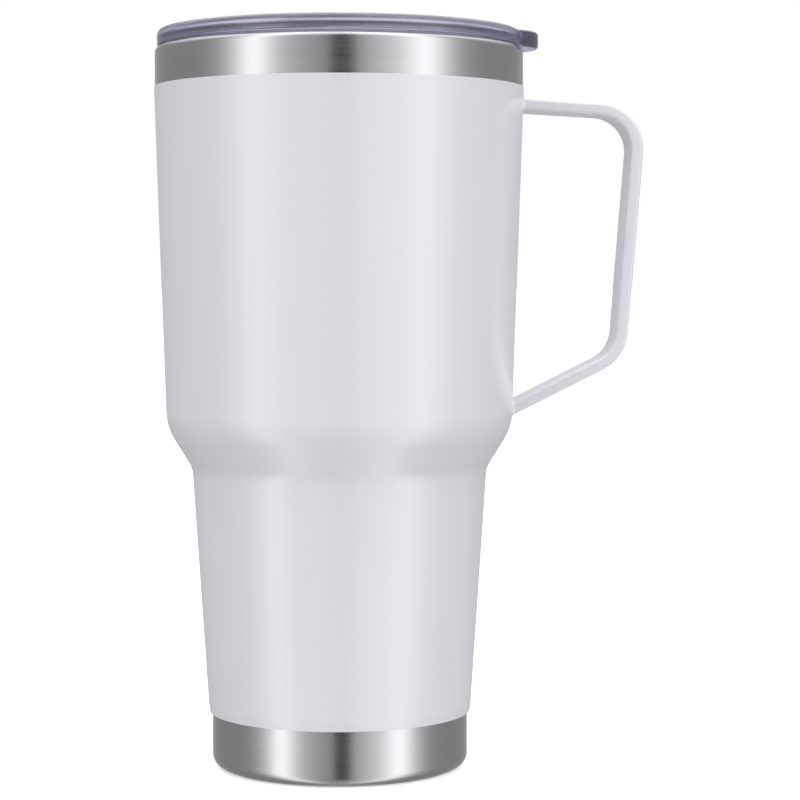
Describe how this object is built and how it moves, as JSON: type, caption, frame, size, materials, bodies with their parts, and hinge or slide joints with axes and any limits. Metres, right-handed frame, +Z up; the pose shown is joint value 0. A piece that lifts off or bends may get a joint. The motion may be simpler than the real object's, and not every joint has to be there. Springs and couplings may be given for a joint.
{
  "type": "insulated tumbler with lid",
  "caption": "Double-walled steel tumbler with a stepped body, strap handle, press-in lid with thumb tab, gasket and sliding closure.",
  "frame": {"origin": "on the cup's axis, in the plane of the foot ring that it stands on", "axes": "+Z up along the cup's axis, towards the lid; +X towards the handle and the lid's thumb tab; +Y square to both"},
  "size_m": [0.135, 0.1022, 0.2044],
  "materials": {
    "shell_steel": "brushed lengthwise, satin",
    "liner_steel": "electropolished satin",
    "powder_coat": "steel under a fine satin powder coat, white",
    "powder_coat_skin": "fine satin powder coat, white",
    "foil": "bright foil",
    "solder_glass": "melted, glossy",
    "getter": "sintered, porous",
    "smoke_plastic": "clear plastic with a smoke-blue tint, polished",
    "silicone": "translucent silicone, matt"
  },
  "bodies": {
    "cup": {"outer_shell": "shell_steel", "inner_liner": "liner_steel", "liner_bottom": "liner_steel", "mouth_weld": "shell_steel", "liner_weld": "liner_steel", "radiation_foil": "foil", "base_cup": "shell_steel", "base_weld": "shell_steel", "port_seal": "solder_glass", "base_disc": "shell_steel", "getter_holder": "liner_steel", "getter_pellet": "getter", "handle_strap": "powder_coat", "handle_weld_upper": "powder_coat", "handle_weld_lower": "powder_coat", "powder_coat": "powder_coat_skin"},
    "lid": {"lid_shell": "smoke_plastic", "lid_gasket": "silicone"},
    "slider": {"slider": "smoke_plastic", "slider_seal": "silicone"}
  },
  "joints": [
    {"name": "lid_lift", "type": "slide", "parent": "cup", "child": "lid", "axis": [0, 0, 1], "range_m": [0, 0.06]},
    {"name": "slider_slide", "type": "slide", "parent": "lid", "child": "slider", "axis": [1, 0, 0], "range_m": [0, 0.018]}
  ]
}
